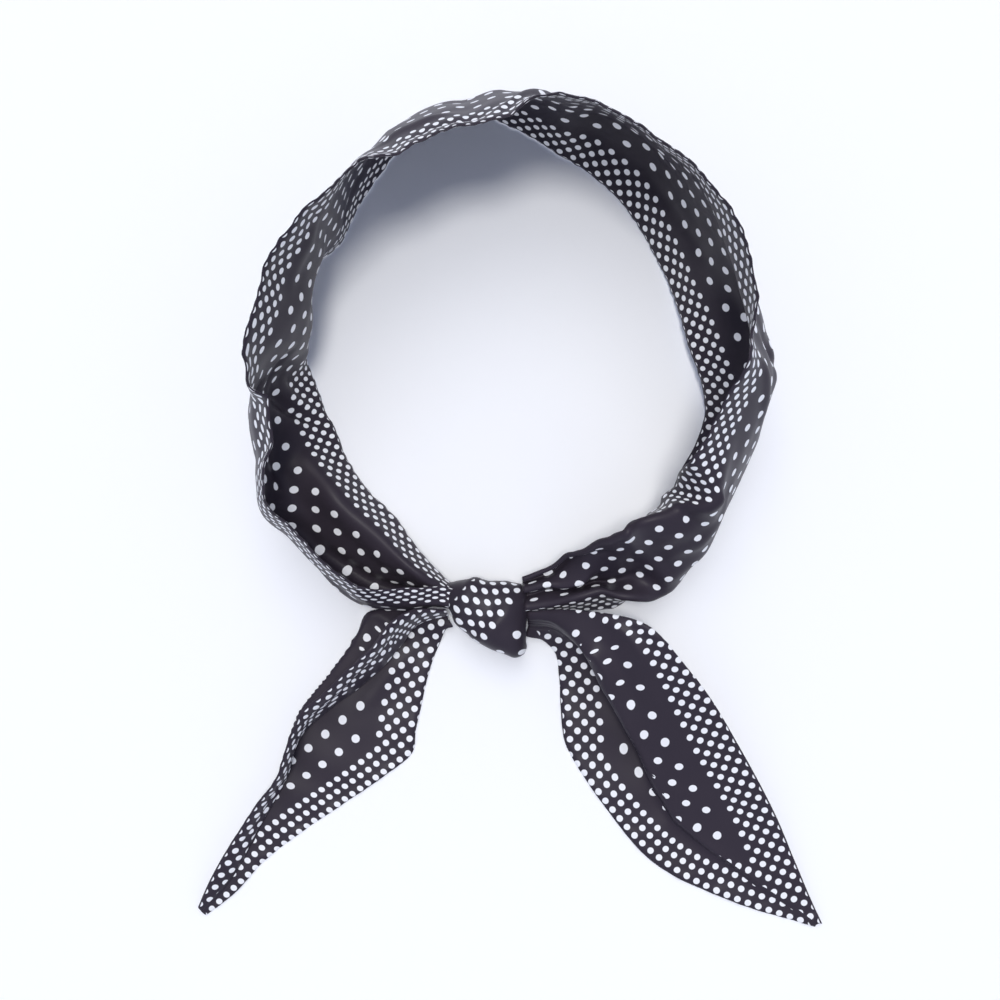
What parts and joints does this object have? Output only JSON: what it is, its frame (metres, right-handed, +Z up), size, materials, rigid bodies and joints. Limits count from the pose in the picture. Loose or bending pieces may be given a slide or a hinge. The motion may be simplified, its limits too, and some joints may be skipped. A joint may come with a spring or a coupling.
{
  "type": "ribbon scarf",
  "caption": "Long narrow satin ribbon scarf with slanted ends, tied into a ring with one knot and lying on a table, printed with white dots on dark cloth.",
  "frame": {"origin": "centre of the bounding box, on the table the scarf lies on", "axes": "+Z up from the table, -Y from the ring towards the tails' tips, +X to the right tail"},
  "size_m": [0.1752, 0.2314, 0.0605],
  "materials": {
    "ribbon": "satin with white dots",
    "knot": "satin with white dots",
    "tails": "satin with white dots"
  },
  "bodies": {
    "root": {"ring_lower_left": "ribbon", "ring_left": "ribbon", "ring_top": "ribbon", "ring_upper_right": "ribbon", "ring_lower_right": "ribbon", "gather_left": "ribbon", "gather_right": "ribbon", "knot_wrap": "knot", "tail_left_gather": "tails", "tail_left": "tails", "tail_right_gather": "tails", "tail_right": "tails"}
  },
  "joints": []
}
